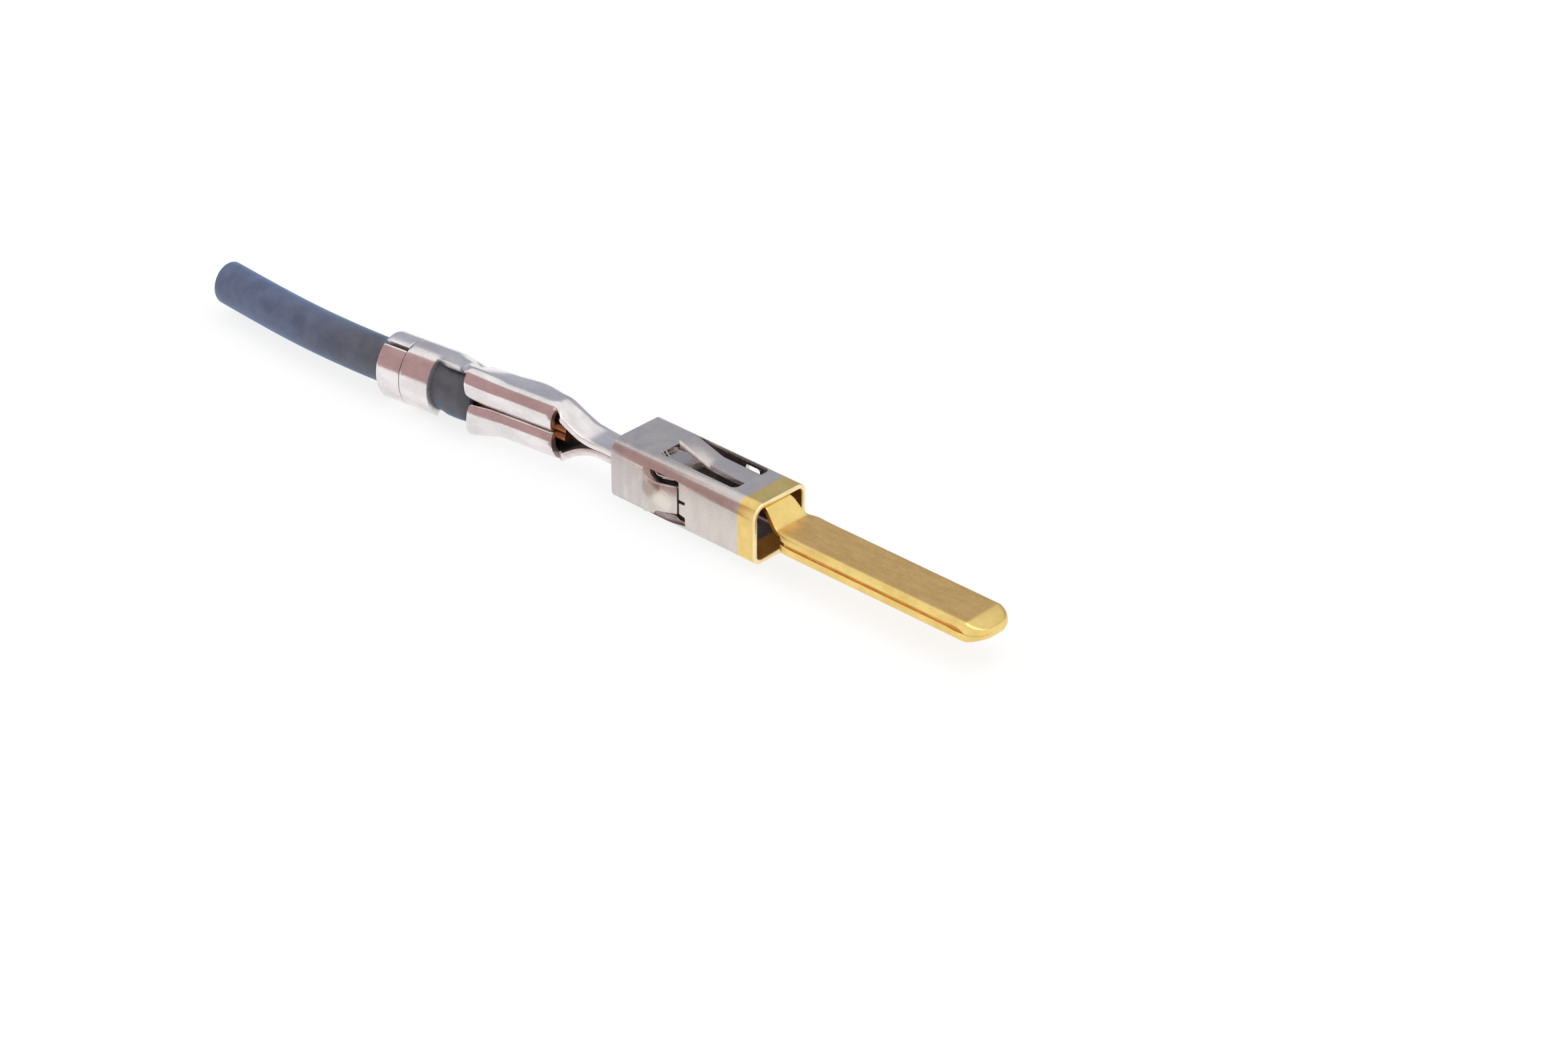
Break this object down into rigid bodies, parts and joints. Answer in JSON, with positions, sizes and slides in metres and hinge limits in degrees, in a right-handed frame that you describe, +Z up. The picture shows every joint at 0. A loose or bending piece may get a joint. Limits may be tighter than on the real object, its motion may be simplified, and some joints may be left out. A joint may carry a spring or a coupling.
{
  "type": "crimp pin contact",
  "caption": "Crimp contact with a folded flat tab, a locking box with a sprung lance, and conductor and insulation crimps on a short stub of stranded wire.",
  "frame": {"origin": "middle of the lock box's underside", "axes": "+X along the tab, towards its tip; +Z up through the wall with the lance; -Y is the side with the crimps' seam"},
  "size_m": [0.0295, 0.0026, 0.0024],
  "materials": {
    "contact_plating": "plated",
    "box_steel": "satin",
    "insulation": "matt",
    "strand_copper": "drawn"
  },
  "bodies": {
    "root": {"contact_body": "contact_plating", "lock_box": "box_steel", "wire_insulation": "insulation", "strand_1": "strand_copper", "strand_2": "strand_copper", "strand_3": "strand_copper", "strand_4": "strand_copper", "strand_5": "strand_copper", "strand_6": "strand_copper", "strand_7": "strand_copper"}
  },
  "joints": []
}
